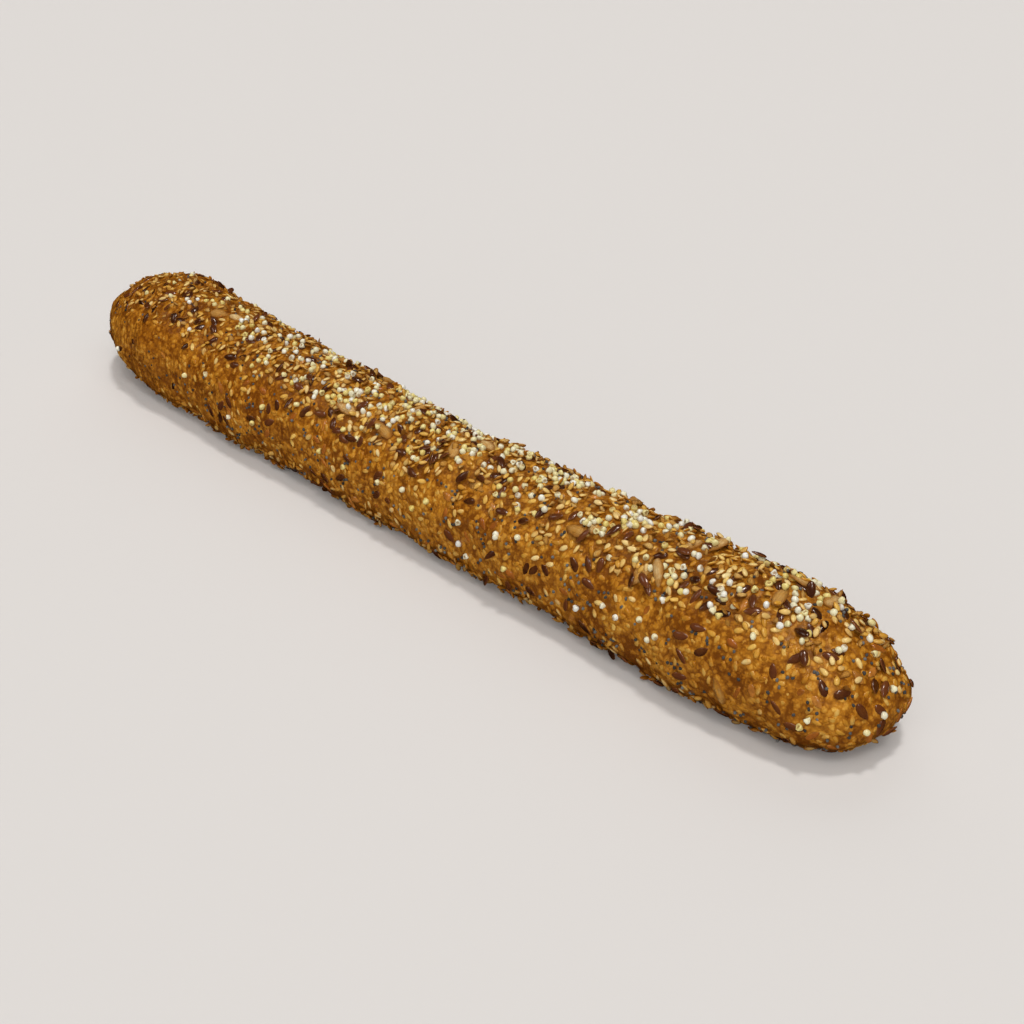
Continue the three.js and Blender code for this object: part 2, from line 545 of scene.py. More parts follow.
SWELLS = (  # kind, height and margin round it
    (sunflower, 0.4, 0.7),
    (brown_linseed, 0.2, 0.5),
    (golden_linseed, 0.2, 0.5),
    (sesame, 0.15, 0.4),
    (glazed_sesame, 0.17, 0.45),
    (millet, 0.2, 0.4),
)
for kind, height, margin in SWELLS:
    for seed in kind.placed:
        if seed["coat"] <= 0 or kind is millet:
            swell(seed, kind.length / 2 + margin, kind.width / 2 + margin, height)
print("The crust rises by at most", round(float(rise.max()), 2), "mm")

# %% Wrinkles, and the board's flat print
WRINKLE_SIZE, WRINKLE = 1.9, 0.1  # millimetres from one to the next, and high
PRESSED_FLAT = 0.8  # share of the swellings that the board took away
SEEDS_LIFT = 0.14  # the seeds that the loaf rests on hold the crust this far off the board
SOLE_HOLLOWS = 0.18  # depth of the hollows between them
HIGH_WAVE = 0.5  # a slow wave of this height makes the deepest hollow
FULL_RELIEF = 0.4  # millimetres that count as 1 in the attribute "relief"

wrinkles = np.array([WRINKLE * drift(place, WRINKLE_SIZE, 9) for place in skin.tolist()])
moved = rise * (1 - PRESSED_FLAT * soleness) + wrinkles * (1 - soleness)
shaped = skin + skin_out * moved[:, None]
hollow = SEEDS_LIFT + SOLE_HOLLOWS * np.clip(waves / HIGH_WAVE, 0, 1)
shaped[:, 2] = np.maximum(shaped[:, 2], hollow * soleness)
crust_mesh.vertices.foreach_set("co", (shaped * MM).astype(np.float32).ravel())

# on the back the finish darkens the crust, partly toast and partly painted shade under the stacked seeds
for name, values in (("relief", np.clip(rise / FULL_RELIEF, 0, 1)), ("toast", toast)):
    layer = crust_mesh.attributes.new(name, "FLOAT", "POINT")
    layer.data.foreach_set("value", values.astype(np.float32))
print("Lowest point of the crust, in mm:", round(float(shaped[:, 2].min()), 3))

# %% [markdown]
# ## The shape of a seed
# All the seeds are made by one function: rings of points round a long axis, between two end points.
# A blunt and a pointed end come from one formula, (1 + t) ** 0.5 * (1 - t) ** point, with t from -1
# to 1 along the seed. Each point also keeps where it is on its own seed, in the attribute "own",
# because the finish needs to know a seed's rim from its middle. With thousands of them, a seed has
# only a few dozen faces, and smooth shading rounds it.

# %% A function for every seed
DENT_REACH = 0.22  # of half a seed's length
BREAK_SIZE = 0.9  # how wide the teeth of a ragged break are, in half widths of the seed


def seed_shape(kind, name, around, rings, point=0.5, rim=2.0, dimple=0.0, bend=0.0, cut=1.0, rough=0.0,
               lumps=0):
    """A seed with a blunt end and a tip, as rings of points.

    A larger point gives a sharper tip, and a rim under 2 a sharper rim. dimple is the depth of a dent
    in the tip, bend how far both ends lie to one side, cut how far along a ragged break starts,
    rough how uneven it is, and lumps which pattern that unevenness has.
    """
    widest = (0.5 - point) / (0.5 + point)
    most = (1 + widest) ** 0.5 * (1 - widest) ** point
    places, own = [], []

    def add(t, swing):
        share = (1 + t) ** 0.5 * max(0.0, 1 - t) ** point / most
        y = share * math.copysign(abs(math.cos(swing)) ** (2 / rim), math.cos(swing))
        z = share * math.copysign(abs(math.sin(swing)) ** (2 / rim), math.sin(swing))
        tooth = drift((math.cos(swing), math.sin(swing), t * 2), BREAK_SIZE, 13)
        x = min(t, cut + (1 - cut) * 0.5 * tooth) - dimple * math.exp(-(((1 - t) / DENT_REACH) ** 2))
        y += bend * t * t
        bump = 1 + rough * drift((x * 2, y * 2, z * 2 + lumps), 1.0, 10)
        own.append((t, y, z))
        places.append((x * kind.length / 2, y * bump * kind.width / 2, z * bump * kind.thick / 2))

    for ring in range(1, rings + 1):
        t = -math.cos(math.pi * ring / (rings + 1))
        for side in range(around):
            add(t, math.tau * (side + 0.5 * (ring % 2)) / around)
    add(-1.0, 0.0)
    add(1.0, 0.0)
    faces = []
    for side in range(around):
        after = (side + 1) % around
        faces.append((rings * around, after, side))
        top = (rings - 1) * around
        faces.append((rings * around + 1, top + side, top + after))
        for ring in range(rings - 1):
            a, b = ring * around + side, ring * around + after
            c, d = a + around, b + around
            if ring % 2:
                faces += [(a, b, c), (b, d, c)]
            else:
                faces += [(a, b, d), (a, d, c)]
    mesh = bpy.data.meshes.new(name)
    mesh.from_pydata([tuple(value * MM for value in place) for place in places], [], faces)
    layer = mesh.attributes.new("own", "FLOAT_VECTOR", "POINT")
    layer.data.foreach_set("vector", np.array(own, np.float32).ravel())
    return bpy.data.objects.new(name, mesh)


# %% The seeds themselves, with their points around and rings along
shapes = {
    "sunflower": [
        seed_shape(sunflower, "kernel_a", 18, 16, point=0.9, rim=1.6, rough=0.16, lumps=8),
        seed_shape(sunflower, "kernel_b", 18, 16, point=0.8, rim=1.5, bend=0.12, rough=0.3, lumps=9),
        seed_shape(sunflower, "kernel_broken", 18, 16, point=0.6, rim=1.4, cut=0.1, rough=0.5, lumps=13),
    ],
    "kernel_chips": [
        seed_shape(kernel_chip, "chip_a", 7, 5, point=0.4, rim=1.4, cut=0.4, rough=0.45, lumps=6),
        seed_shape(kernel_chip, "chip_b", 7, 5, point=0.6, rim=1.3, cut=0.1, rough=0.5, lumps=7),
        seed_shape(kernel_chip, "chip_c", 7, 5, point=0.9, rim=1.5, bend=0.3, rough=0.4, lumps=8),
    ],
    "brown_linseed": [seed_shape(brown_linseed, "linseed", 8, 6, point=0.7, rim=1.6, bend=0.05)],
    "golden_linseed": [seed_shape(golden_linseed, "linseed_gold", 8, 6, point=0.7, rim=1.6, bend=0.05)],
    "sesame": [seed_shape(sesame, "sesame_seed", 6, 4, point=0.72, rim=1.9)],
    "glazed_sesame": [seed_shape(glazed_sesame, "sesame_sunk", 6, 3, point=0.7, rim=1.9)],
    "millet": [
        seed_shape(millet, "millet_a", 9, 5, dimple=0.3, rough=0.2, lumps=8),
        seed_shape(millet, "millet_b", 9, 5, dimple=0.12, bend=0.1),
        seed_shape(millet, "millet_open", 9, 5, dimple=0.75, rough=0.35, lumps=11),
    ],
    "poppy": [seed_shape(poppy, "poppy_seed", 6, 4, bend=0.25)],
}
for name, made in shapes.items():
    print(name, "has", [len(shape.data.polygons) for shape in made], "faces")

# %% [markdown]
# ## Planting with Geometry Nodes
# A seed could be copied thousands of times in Python, but Geometry Nodes do it in one go: a cloud of
# points carries each seed's turn, size and shade, Instance on Points puts a shape on every point, and
# Realize Instances makes them one real mesh, which an export needs. The shade and the "own" places
# come through as attributes for the finish.

# %% Build the planting tree
def planting_tree():
    tree = bpy.data.node_groups.new("plant seeds", "GeometryNodeTree")
    sockets = {"Points": "Geometry", "Shapes": "Collection", "Plumpness": "Float", "Finish": "Material"}
    for name, kind in sockets.items():
        tree.interface.new_socket(name, in_out="INPUT", socket_type="NodeSocket" + kind)
    tree.interface.new_socket("Seeds", in_out="OUTPUT", socket_type="NodeSocketGeometry")
    new, join = tree.nodes.new, tree.links.new
    inputs, outputs = new("NodeGroupInput"), new("NodeGroupOutput")

    def carried(name, kind):
        reader = new("GeometryNodeInputNamedAttribute")
        reader.data_type = kind
        reader.inputs["Name"].default_value = name
        return next(socket for socket in reader.outputs if socket.enabled and socket.name == "Attribute")

    shelf = new("GeometryNodeCollectionInfo")
    shelf.inputs["Separate Children"].default_value = True
    shelf.inputs["Reset Children"].default_value = True
    join(inputs.outputs["Shapes"], shelf.inputs["Collection"])
    turn = new("FunctionNodeEulerToRotation")
    join(carried("turn", "FLOAT_VECTOR"), turn.inputs["Euler"])
    plump = new("ShaderNodeVectorMath")
    plump.operation = "SCALE"
    join(carried("size", "FLOAT_VECTOR"), plump.inputs[0])
    join(inputs.outputs["Plumpness"], plump.inputs["Scale"])
    plant = new("GeometryNodeInstanceOnPoints")
    plant.inputs["Pick Instance"].default_value = True
    join(inputs.outputs["Points"], plant.inputs["Points"])
    join(shelf.outputs[0], plant.inputs["Instance"])
    join(carried("shape", "INT"), plant.inputs["Instance Index"])
    join(turn.outputs[0], plant.inputs["Rotation"])
    join(plump.outputs["Vector"], plant.inputs["Scale"])
    real = new("GeometryNodeRealizeInstances")
    join(plant.outputs[0], real.inputs[0])
    shade = new("GeometryNodeSetShadeSmooth")
    join(real.outputs[0], shade.inputs["Geometry"])
    finish = new("GeometryNodeSetMaterial")
    join(shade.outputs[0], finish.inputs["Geometry"])
    join(inputs.outputs["Finish"], finish.inputs["Material"])
    join(finish.outputs[0], outputs.inputs[0])
    return tree


planting = planting_tree()
print("The planting tree has", len(planting.nodes), "nodes")

# %% Plant one kind of seed
ON_EACH_POINT = (  # what a point carries, as which kind of attribute, and the name of its value there
    ("turn", "FLOAT_VECTOR", "vector"),
    ("size", "FLOAT_VECTOR", "vector"),
    ("shade", "FLOAT", "value"),
    ("shape", "INT", "value"),
)


def plant(name, kind, finish, plumpness=1.0):
    """One real mesh with every seed of a kind."""
    cloud = bpy.data.meshes.new(name + "_points")
    cloud.from_pydata([tuple(value * MM for value in seed["place"]) for seed in kind.placed], [], [])
    for carried, attribute_kind, value_name in ON_EACH_POINT:
        layer = cloud.attributes.new(carried, attribute_kind, "POINT")
        layer.data.foreach_set(value_name, np.array([seed[carried] for seed in kind.placed]).ravel())
    holder = bpy.data.objects.new(name + "_cloud", cloud)
    bpy.context.scene.collection.objects.link(holder)
    shelf = bpy.data.collections.new(name + "_shelf")
    bpy.context.scene.collection.children.link(shelf)
    for shape in shapes[name]:
        shelf.objects.link(shape)
    nodes = holder.modifiers.new("plant", "NODES")
    nodes.node_group = planting
    for item, value in (("Shapes", shelf), ("Plumpness", plumpness), ("Finish", finish)):
        nodes[planting.interface.items_tree[item].identifier] = value
    mesh = worked_out(holder)
    mesh.name = name
    for shape in shapes[name]:
        bpy.data.objects.remove(shape)
    bpy.data.collections.remove(shelf)
    for used_up in ("turn", "size", "shape"):
        mesh.attributes.remove(mesh.attributes[used_up])
    piece = bpy.data.objects.new(name, mesh)
    bpy.context.scene.collection.objects.link(piece)
    mesh_triangles = sum(len(face.vertices) - 2 for face in mesh.polygons)
    print(name, len(kind.placed), "seeds,", mesh_triangles, "triangles")
    return piece


# %% [markdown]
# ## Finishes
# A finish is a small tree of nodes round one Principled shader. It could be painted on instead, but
# that needs an unwrapped mesh. Patterns that read a place on the loaf fit any mesh. A few helpers add
# nodes and join them, so that each finish below reads as a short list of what is there to see.

# %% Start, keep and join
finishes = {}


def new_finish(name, roughness, specular=0.5, gloss_tint=(1, 1, 1)):
    finish = bpy.data.materials.new(name)
    finish.use_nodes = True
    shader = finish.node_tree.nodes["Principled BSDF"]
    shader.inputs["Roughness"].default_value = roughness
    shader.inputs["Specular IOR Level"].default_value = specular
    shader.inputs["Specular Tint"].default_value = (*gloss_tint, 1)
    return finish, finish.node_tree, shader


def keep(piece_name, finish):
    """Puts a finish by for the piece that wears it."""
    finishes[piece_name] = finish
    print("The finish", finish.name, "has", len(finish.node_tree.nodes), "nodes")


def feed(tree, socket, value):
    """Joins an output to a socket, or sets a number or a colour on it."""
    if isinstance(value, bpy.types.NodeSocket):
        tree.links.new(value, socket)
    elif socket.type == "RGBA":
        socket.default_value = (*value, 1)
    else:
        socket.default_value = value


def add(tree, kind, joins=(), **settings):
    """A new node: settings are its properties, joins are pairs of an input and what feeds it."""
    made = tree.nodes.new("ShaderNode" + kind)
    for key, value in settings.items():
        setattr(made, key, value)
    for socket, value in joins:
        feed(tree, made.inputs[socket], value)
    return made


# %% Read places and attributes
def place_of(tree):
    """The place on the loaf, in metres."""
    return add(tree, "TexCoord").outputs["Object"]


def attribute(tree, name, output="Fac"):
    """What each corner of the mesh carries under a name."""
    return add(tree, "Attribute", attribute_name=name).outputs[output]


def one_axis(tree, vector, axis):
    return add(tree, "SeparateXYZ", [("Vector", vector)]).outputs[axis]


def between(tree, value, start, end, least=0.0):
    """1 where the value is at end or past it, least where it is at start, straight in between."""
    joins = [("Value", value), ("From Min", start), ("From Max", end), ("To Min", least)]
    return add(tree, "MapRange", joins).outputs[0]


# %% Patterns, colours and sums
def object_noise(tree, scale, detail=2.0, roughness=0.5):
    """A noise with about as many waves in a metre of the loaf as its scale."""
    joins = [("Vector", place_of(tree)), ("Scale", scale), ("Detail", detail), ("Roughness", roughness)]
    return add(tree, "TexNoise", joins).outputs["Fac"]


def ramp(tree, value, stops):
    """Colours at places from 0 to 1, mixed in between."""
    made = add(tree, "ValToRGB", [("Fac", value)])
    stones = made.color_ramp.elements
    while len(stones) < len(stops):
        stones.new(0.5)
    for stone, (place, colour) in zip(stones, stops):
        stone.position = place
        stone.color = (*colour, 1)
    return made.outputs["Color"]


def blend(tree, share, colour, over, mode="MIX"):
    """A share of one colour laid over another."""
    made = add(tree, "Mix", data_type="RGBA", blend_type=mode)
    for socket, value in ((0, share), (6, colour), (7, over)):  # 6 and 7 are its inputs for colours
        feed(tree, made.inputs[socket], value)
    return made.outputs[2]


def sums(tree, operation, *values, clamp=False):
    return add(tree, "Math", enumerate(values), operation=operation, use_clamp=clamp).outputs[0]


def bumpy(tree, shader, height, strength, distance):
    joins = [("Height", height), ("Strength", strength), ("Distance", distance)]
    tree.links.new(add(tree, "Bump", joins).outputs["Normal"], shader.inputs["Normal"])


# %% What the oven did to crust and sesame alike, with painted shade low down
BOARD_BROWN_AND_SHADE = (0.42, 0.32, 0.24)  # these three darken what lies under them; the first is partly browning by the hot board and partly painted shade
HEEL_RED = (0.92, 0.87, 0.74)
UNEVEN = [(0.36, (0.82, 0.75, 0.64)), (0.6, (1, 1, 1))]  # darker patches of a centimetre or so


def browned_and_shaded(tree, colour, board_and_shade=1.0):
    """Darker low down, partly browned by the hot board and partly painted shade under the loaf's belly,
    redder towards the fat end, and uneven all over.
    """
    # painted shade as well as browning: the lowest centimetre darkens towards the board
    low = between(tree, one_axis(tree, place_of(tree), "Z"), 10 * MM, 2 * MM)
    colour = blend(tree, sums(tree, "MULTIPLY", low, board_and_shade), colour, BOARD_BROWN_AND_SHADE, "MULTIPLY")
    along = one_axis(tree, place_of(tree), "X")
    fat_end = between(tree, along, 0.0, -80 * MM)
    before_tip = between(tree, along, -165 * MM, -120 * MM)
    colour = blend(tree, sums(tree, "MULTIPLY", fat_end, before_tip), colour, HEEL_RED, "MULTIPLY")
    return blend(tree, 1.0, colour, ramp(tree, object_noise(tree, 120, 3), UNEVEN), "MULTIPLY")


# %% [markdown]
# ## The crust's finish
# A real crust is brown glass over pale dough: starch that ran while it was wet, with sesame sunk in it
# too deep to stand out. The seeds that do stand out are mesh. The sunken ones are only seen as paler
# ovals, so they are drawn: a Voronoi pattern gives each cell a middle and a random turn, and sums on
# the distance from that middle give an oval. Everything is added up to one tone, and a ramp turns the
# tone from the brown of the hollows into the gold of what lies just under the glaze.

# %% Ovals under the glaze
def arrows(tree, operation, *values, output="Vector"):
    """Sums on places and directions."""
    return add(tree, "VectorMath", enumerate(values), operation=operation).outputs[output]


def buried_seeds(tree, scale, half_length, half_width):
    """Ovals, each turned its own way: 1 in the middle of one, 0 from its rim on. And its own number."""
    place = place_of(tree)
    cells = add(tree, "TexVoronoi", [("Vector", place), ("Scale", scale)])
    turn = arrows(tree, "NORMALIZE", arrows(tree, "SUBTRACT", cells.outputs["Color"], (0.5, 0.5, 0.5)))
    away = arrows(tree, "SUBTRACT", place, cells.outputs["Position"])
    far = arrows(tree, "DOT_PRODUCT", away, away, output="Value")
    along = arrows(tree, "DOT_PRODUCT", away, turn, output="Value")
    along = sums(tree, "MULTIPLY", along, along)
    beside = sums(tree, "MULTIPLY", sums(tree, "SUBTRACT", far, along), half_width ** -2)
    oval = sums(tree, "MULTIPLY_ADD", along, half_length ** -2, beside)
    return sums(tree, "SUBTRACT", 1.0, oval, clamp=True), one_axis(tree, cells.outputs["Color"], "X")


# %% Crust
HONEY = (1.0, 0.74, 0.4)  # light that a brown glaze gives back is warm, as some has been through it
CRUST_TONES = [
    (0.0, (0.2, 0.06, 0.004)),
    (0.3, (0.48, 0.19, 0.015)),
    (0.6, (0.67, 0.345, 0.053)),
    (1.0, (0.85, 0.6, 0.2)),
]
SOLE_TONES = [(0.3, (0.2, 0.09, 0.025)), (0.7, (0.36, 0.19, 0.07))]
TOASTED_AND_SHADED = (0.76, 0.73, 0.66)  # the back of the loaf was nearest to the oven's roof; this is partly painted shade between the seeds stacked there


def crust_finish():
    finish, tree, shader = new_finish("baked crust", roughness=0.3, specular=0.36, gloss_tint=HONEY)
    patches = object_noise(tree, 60, 3, 0.6)
    specks = object_noise(tree, 900, 4, 0.65)
    upright = add(tree, "Mapping", [("Vector", place_of(tree)), ("Scale", (1, 1, 0.5))]).outputs[0]
    runs = add(tree, "TexNoise", [("Vector", upright), ("Scale", 420.0), ("Detail", 3.0)]).outputs["Fac"]
    seeds, seed_own = buried_seeds(tree, 520, 1.5 * MM, 0.85 * MM)
    pebbles, pebble_own = buried_seeds(tree, 1250, 0.55 * MM, 0.42 * MM)
    rounded = sums(tree, "POWER", seeds, 0.6)
    seeds = sums(tree, "MULTIPLY", rounded, sums(tree, "MULTIPLY_ADD", seed_own, 0.8, 0.1))
    pebbles = sums(tree, "MULTIPLY", pebbles, sums(tree, "MULTIPLY_ADD", pebble_own, 0.8, 0.2))

    tone = sums(tree, "MULTIPLY_ADD", patches, 0.5, -0.13)
    tone = sums(tree, "MULTIPLY_ADD", attribute(tree, "relief"), 0.32, tone)
    for pattern, gain, shift in (  # the shift keeps the mean tone where it was
        (specks, 0.5, -0.25),
        (runs, 0.55, -0.275),
        (seeds, 0.5, -0.07),
        (pebbles, 0.22, -0.05),
    ):
        tone = sums(tree, "ADD", tone, sums(tree, "MULTIPLY_ADD", pattern, gain, shift))

    # painted shade as well as toast: the crust on the back darkens where seeds lie in layers over it
    toast = sums(tree, "MULTIPLY", attribute(tree, "toast"), 0.85)
    colour = blend(tree, toast, ramp(tree, tone, CRUST_TONES), TOASTED_AND_SHADED, "MULTIPLY")
    sole = between(tree, one_axis(tree, place_of(tree), "Z"), 2.5 * MM, 0.6 * MM)
    colour = blend(tree, sums(tree, "MULTIPLY", sole, 0.7), colour, ramp(tree, specks, SOLE_TONES))
    # the crust takes the full painted shade and browning low down
    tree.links.new(browned_and_shaded(tree, colour), shader.inputs["Base Color"])
    height = sums(tree, "MULTIPLY_ADD", pebbles, 0.4, seeds)
    bumpy(tree, shader, sums(tree, "MULTIPLY_ADD", specks, 0.7, height), 0.65, 0.3 * MM)
    return finish


keep("crust", crust_finish())

# %% [markdown]
# ## Glaze on the seeds
# The wet starch ran over the seeds as well, and pooled where they lie in the dough. Real drops would
# need a mesh of their own. A thin film has no thickness to see, only a colour, so it is a noise that
# covers a seed here and there, more of it on the sides than on the back.

# %% A film of glaze
GLAZE = (0.5, 0.204, 0.014)
GLAZE_POOL = (0.42, 0.162, 0.011)  # where it ran together round a seed
SMEARS = [(0.42, (0, 0, 0)), (0.6, (1, 1, 1))]


def glazed_over(tree, colour, glaze, share):
    wet = between(tree, one_axis(tree, place_of(tree), "Z"), 36 * MM, 24 * MM, least=0.4)
    smears = ramp(tree, object_noise(tree, 450, 3, 0.6), SMEARS)
    amount = sums(tree, "MULTIPLY", smears, sums(tree, "MULTIPLY", wet, share))
    return blend(tree, amount, colour, glaze)


# %% [markdown]
# ## Sesame
# A sesame seed is a flat ivory drop that toasts to gold. No two are toasted alike, so each has its own
# shade, and a wide noise makes neighbours alike. The seeds that sank are the same, but darker and
# with more glaze on them.

# %% Sesame
SESAME_SHEEN = (1.0, 0.84, 0.6)
SESAME_TONES = [
    (0.0, (0.41, 0.14, 0.008)),
    (0.28, (0.61, 0.288, 0.03)),
    (0.62, (0.79, 0.51, 0.12)),
    (1.0, (0.87, 0.7, 0.34)),
]
SUNK_TONES = [(0.0, (0.4, 0.152, 0.01)), (0.5, (0.57, 0.28, 0.034)), (1.0, (0.76, 0.49, 0.13))]
MOTTLE = [(0.35, (0.6, 0.6, 0.6)), (0.65, (1, 1, 1))]


def sesame_finish(name, tones, glaze_share):
    finish, tree, shader = new_finish(name, roughness=0.25, specular=0.5, gloss_tint=SESAME_SHEEN)
    toasted = sums(tree, "MULTIPLY_ADD", object_noise(tree, 90, 2), 0.8, -0.4)
    colour = ramp(tree, sums(tree, "ADD", attribute(tree, "shade"), toasted), tones)
    mottle = object_noise(tree, 900, 2)
    colour = blend(tree, 0.35, colour, ramp(tree, mottle, MOTTLE), "MULTIPLY")
    sunk = between(tree, one_axis(tree, attribute(tree, "own", "Vector"), "Z"), 0.6, 0.1)
    colour = blend(tree, sunk, glazed_over(tree, colour, GLAZE, glaze_share), GLAZE_POOL)
    # the sesame takes three quarters of the painted shade and browning low down
    tree.links.new(browned_and_shaded(tree, colour, 0.75), shader.inputs["Base Color"])
    bumpy(tree, shader, mottle, 0.2, 0.2 * MM)
    return finish


keep("sesame", sesame_finish("sesame", SESAME_TONES, glaze_share=0.6))
keep("glazed_sesame", sesame_finish("glazed sesame", SUNK_TONES, glaze_share=0.9))

# %% [markdown]
# ## Linseed
# Linseed has a hard and very smooth skin, the shiniest thing on the loaf, so it is low in roughness
# and gives small sharp glints. Its thin rim is paler, since light comes through it. A seed's own
# upward place says where the rim is, which a noise could not.

# %% Linseed, brown and golden
LINSEED_SHEEN = (1.0, 0.88, 0.82)
LINSEED_GLAZE = (0.15, 0.048, 0.006)
BROWN_TONES = [(0.0, (0.019, 0.005, 0.002)), (0.6, (0.049, 0.0125, 0.004)), (1.0, (0.12, 0.033, 0.01))]
BROWN_RIM = (0.24, 0.08, 0.02)
GOLDEN_TONES = [(0.0, (0.28, 0.075, 0.008)), (0.6, (0.4, 0.125, 0.016)), (1.0, (0.52, 0.21, 0.035))]
GOLDEN_RIM = (0.5, 0.22, 0.04)


def linseed_finish(name, tones, rim, glaze_share):
    finish, tree, shader = new_finish(name, roughness=0.2, specular=0.65, gloss_tint=LINSEED_SHEEN)
    colour = ramp(tree, attribute(tree, "shade"), tones)
    off_rim = sums(tree, "ABSOLUTE", one_axis(tree, attribute(tree, "own", "Vector"), "Z"))
    edge = sums(tree, "MULTIPLY", between(tree, off_rim, 0.4, 0.08), 0.65)
    colour = glazed_over(tree, blend(tree, edge, colour, rim), LINSEED_GLAZE, glaze_share)
    tree.links.new(colour, shader.inputs["Base Color"])
    bumpy(tree, shader, object_noise(tree, 1500, 2), 0.08, 0.2 * MM)
    return finish


keep("brown_linseed", linseed_finish("brown linseed", BROWN_TONES, BROWN_RIM, glaze_share=0.35))
keep("golden_linseed", linseed_finish("golden linseed", GOLDEN_TONES, GOLDEN_RIM, glaze_share=0.5))

# %% [markdown]
# ## Millet
# Hulled millet is a small pale ball with a dent where the germ was. In the oven some grains swell and
# burst white, and the dent opens to a dark pit. The shapes have the dents, and the finish darkens
# them by how far along its own length a place on a grain is.

# %% Millet
MILLET_TONES = [
    (0.0, (0.54, 0.33, 0.07)),
    (0.25, (0.72, 0.56, 0.15)),
    (0.5, (0.78, 0.66, 0.26)),
    (0.7, (0.79, 0.74, 0.48)),
    (1.0, (0.82, 0.82, 0.78)),
]
MILLET_PIT = (0.32, 0.17, 0.045)
MILLET_MOTTLE = [(0.4, (0.82, 0.75, 0.6)), (0.62, (1, 1, 1))]


def millet_finish():
    finish, tree, shader = new_finish("millet", roughness=0.3, specular=0.6)
    dent = between(tree, one_axis(tree, attribute(tree, "own", "Vector"), "X"), 0.62, 0.95)
    colour = ramp(tree, attribute(tree, "shade"), MILLET_TONES)
    colour = blend(tree, sums(tree, "MULTIPLY", dent, 0.8), colour, MILLET_PIT)
    mottle = ramp(tree, object_noise(tree, 1100, 2), MILLET_MOTTLE)
    tree.links.new(blend(tree, 0.6, colour, mottle, "MULTIPLY"), shader.inputs["Base Color"])
    bumpy(tree, shader, object_noise(tree, 1800, 2), 0.15, 0.2 * MM)
    return finish


keep("millet", millet_finish())

# %% [markdown]
# ## Poppy seed
# Poppy seed is slate blue and dull, with a net of fine ridges. It is only a millimetre wide, so the
# net is a bump: the distance to the edge of a Voronoi cell is a net as it stands.

# %% Poppy seed
POPPY_TONES = [(0.0, (0.026, 0.022, 0.019)), (0.6, (0.07, 0.067, 0.064)), (1.0, (0.16, 0.158, 0.15))]


def poppy_finish():
    finish, tree, shader = new_finish("poppy seed", roughness=0.6, specular=0.1)
    tree.links.new(ramp(tree, attribute(tree, "shade"), POPPY_TONES), shader.inputs["Base Color"])
    joins = [("Vector", place_of(tree)), ("Scale", 5200)]
    net = add(tree, "TexVoronoi", joins, feature="DISTANCE_TO_EDGE").outputs["Distance"]
    bumpy(tree, shader, net, 0.5, 0.1 * MM)
    return finish


keep("poppy", poppy_finish())

# %% [markdown]
# ## Sunflower kernels
# A kernel is grey-brown and matte, with fine lines along it. A noise drawn out along the kernel's
# own length gives the lines. It is read from the attribute "own", so that they turn with each
# kernel. On chips the lines are fainter, as more of what shows is a broken face.

# %% Sunflower kernels and their chips
KERNEL_SHEEN = (1.0, 0.85, 0.6)
KERNEL_TONES = [(0.0, (0.38, 0.17, 0.03)), (0.5, (0.56, 0.31, 0.085)), (1.0, (0.74, 0.53, 0.25))]
CHIP_TONES = [(0.0, (0.44, 0.17, 0.02)), (0.5, (0.6, 0.3, 0.055)), (1.0, (0.74, 0.48, 0.16))]
KERNEL_LINES = [(0.38, (0.56, 0.4, 0.24)), (0.56, (1, 1, 1))]
KERNEL_POOL = (0.3, 0.11, 0.012)
DRAWN_OUT = (0.7, 6.0, 3.0)  # few waves along the kernel, many across it


def kernel_finish(name, tones, streaky):
    finish, tree, shader = new_finish(name, roughness=0.45, specular=0.4, gloss_tint=KERNEL_SHEEN)
    own = attribute(tree, "own", "Vector")
    along = add(tree, "Mapping", [("Vector", own), ("Scale", DRAWN_OUT)]).outputs[0]
    streak = add(tree, "TexNoise", [("Vector", along), ("Scale", 2.0), ("Detail", 3.0)]).outputs["Fac"]
    colour = ramp(tree, attribute(tree, "shade"), tones)
    colour = blend(tree, streaky, colour, ramp(tree, streak, KERNEL_LINES), "MULTIPLY")
    sunk = between(tree, one_axis(tree, own, "Z"), 0.75, 0.2)
    colour = blend(tree, sunk, glazed_over(tree, colour, GLAZE, 0.9), KERNEL_POOL)
    tree.links.new(colour, shader.inputs["Base Color"])
    bumpy(tree, shader, streak, 0.6, 0.8 * MM)
    return finish


keep("sunflower", kernel_finish("sunflower kernel", KERNEL_TONES, streaky=0.75))
keep("kernel_chips", kernel_finish("kernel chips", CHIP_TONES, streaky=0.4))

# %% [markdown]
# ## Dress the loaf
# The crust stands for the CAD node, and each kind of seed is one piece, because seeds of one kind
# share a finish and never move apart. All ride on the one body.

# %% The crust
crust_mesh.shade_smooth()
crust_mesh.materials.append(finishes["crust"])
crust = bpy.data.objects.new("crust", crust_mesh)
bpy.context.scene.collection.objects.link(crust)
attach(crust, "root")
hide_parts("loaf")
print("The crust stands for the loaf, with", len(crust_mesh.polygons), "faces")

# %% The seeds
KINDS = {
    "sesame": sesame,
    "glazed_sesame": glazed_sesame,
    "brown_linseed": brown_linseed,
    "golden_linseed": golden_linseed,
    "millet": millet,
    "poppy": poppy,
    "sunflower": sunflower,
    "kernel_chips": kernel_chip,
}

for name, kind in KINDS.items():
    piece = plant(name, kind, finishes[name])
    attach(piece, "root")

# %% [markdown]
# ## The studio
# A plain pale floor under a pale backdrop. A small key light hangs nearly overhead, with a lamp in
# front and a window on the left: these three are small, and they put the glints on the glaze and the
# linseeds. A sky, a softbox, a fill and a back light are broad and soft. They only fill the shadows:
# were they mirrored in the glaze too, they would veil it in grey. A sun lamp's angle says how soft its
# shadows are, and it lights the whole floor evenly, which an area lamp would not.

# %% Floor and backdrop
HALF_FLOOR = 30.0  # metres, so that its edge is far behind the loaf
PAPER = (0.638, 0.616, 0.604, 1)
BACKDROP = (0.737, 0.701, 0.672, 1)

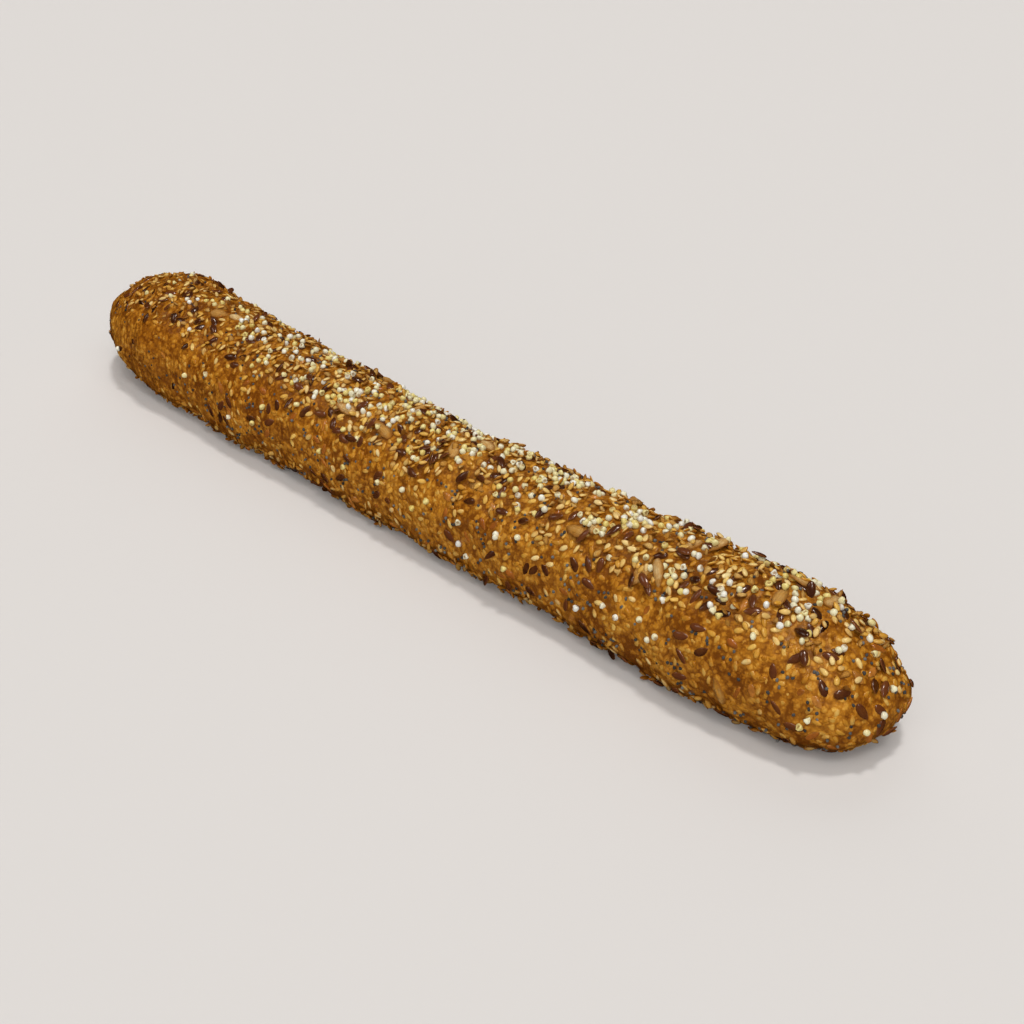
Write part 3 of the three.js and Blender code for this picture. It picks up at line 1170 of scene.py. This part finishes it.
floor_corners = [(HALF_FLOOR * x, HALF_FLOOR * y, 0) for x, y in ((-1, -1), (1, -1), (1, 1), (-1, 1))]
floor_mesh = bpy.data.meshes.new("floor")
floor_mesh.from_pydata(floor_corners, [], [(0, 1, 2, 3)])
floor = bpy.data.objects.new("floor", floor_mesh)
bpy.context.scene.collection.objects.link(floor)
paper, _, shader = new_finish("pale paper", roughness=0.9, specular=0.1)
shader.inputs["Base Color"].default_value = PAPER
floor_mesh.materials.append(paper)
floor.visible_glossy = False  # a pale floor's mirror image would veil the glaze in grey
floor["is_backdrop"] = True

world = bpy.data.worlds.new("studio")
world.use_nodes = True
world.node_tree.nodes["Background"].inputs["Color"].default_value = BACKDROP
bpy.context.scene.world = world
world.cycles_visibility.glossy = False  # it is only there to be seen, and gives no light
world.cycles_visibility.diffuse = False
print("The floor is", 2 * HALF_FLOOR, "metres wide")

# %% Lamps
WARM = (1.0, 0.985, 0.96)
CAMERA_TURN = math.radians(46.7)
CAMERA_DIP = math.radians(29.68)
to_right = Vector((math.cos(CAMERA_TURN), math.sin(CAMERA_TURN), 0))
to_back = Vector((-math.sin(CAMERA_TURN), math.cos(CAMERA_TURN), 0))


def sun(name, right, back, up, strength, softness, glints=True, shadows=True):
    """A sun lamp that shines from a direction given as the camera sees it."""
    lamp = bpy.data.lights.new(name, "SUN")
    lamp.energy = strength
    lamp.angle = math.radians(softness)
    lamp.color = WARM
    lamp.use_shadow = shadows
    holder = bpy.data.objects.new(name, lamp)
    holder.visible_glossy = glints
    towards = to_right * right + to_back * back + Vector((0, 0, up))
    holder.rotation_euler = towards.to_track_quat("Z", "Y").to_euler()
    bpy.context.scene.collection.objects.link(holder)
    print("Lamp", name, "has strength", strength, "and is", softness, "degrees wide")


sun("sky", right=0.0, back=0.0, up=1.0, strength=0.25, softness=180, glints=False)
sun("key", right=0.09, back=0.05, up=1.0, strength=1.12, softness=8)
sun("lamp", right=0.1, back=-0.5, up=0.9, strength=0.42, softness=12)
sun("window", right=-0.7, back=0.1, up=0.8, strength=0.25, softness=22, shadows=False)
sun("softbox", right=0.2, back=-0.5, up=0.8, strength=0.8, softness=60, glints=False)
sun("back", right=0.0, back=0.9, up=0.5, strength=0.9, softness=60, glints=False, shadows=False)
sun("fill", right=-0.3, back=-0.85, up=0.55, strength=1.25, softness=80, glints=False)

# %% [markdown]
# ## The camera
# It looks down on the loaf from the blunt end, close enough that the far end looks much smaller. A
# long lens from further off would draw the loaf nearly even, and it wouldn't look as near as it is.

# %% Camera and colour
CAMERA_DISTANCE = 0.4897
AIM = Vector((0.0187, 0.0186, 0))  # the place on the board that the camera looks at
LENS_LENGTH = 56.25  # millimetres, on a sensor of the width below
SENSOR_WIDTH = 36

back = to_back * -math.cos(CAMERA_DIP) + Vector((0, 0, math.sin(CAMERA_DIP)))
lens = bpy.data.cameras.new("camera")
lens.lens = LENS_LENGTH
lens.sensor_width = SENSOR_WIDTH
camera = bpy.data.objects.new("camera", lens)
camera.location = AIM + back * CAMERA_DISTANCE
camera.rotation_euler = back.to_track_quat("Z", "Y").to_euler()
bpy.context.scene.collection.objects.link(camera)
bpy.context.scene.camera = camera
bpy.context.scene.view_settings.view_transform = "Standard"

# %% Write the sizes and finish
bpy.context.view_layer.update()
visual_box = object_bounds()
dressed = [round(float(side) / MM, 1) for side in visual_box[1] - visual_box[0]]
print("The dressed loaf measures, in mm:", dressed)
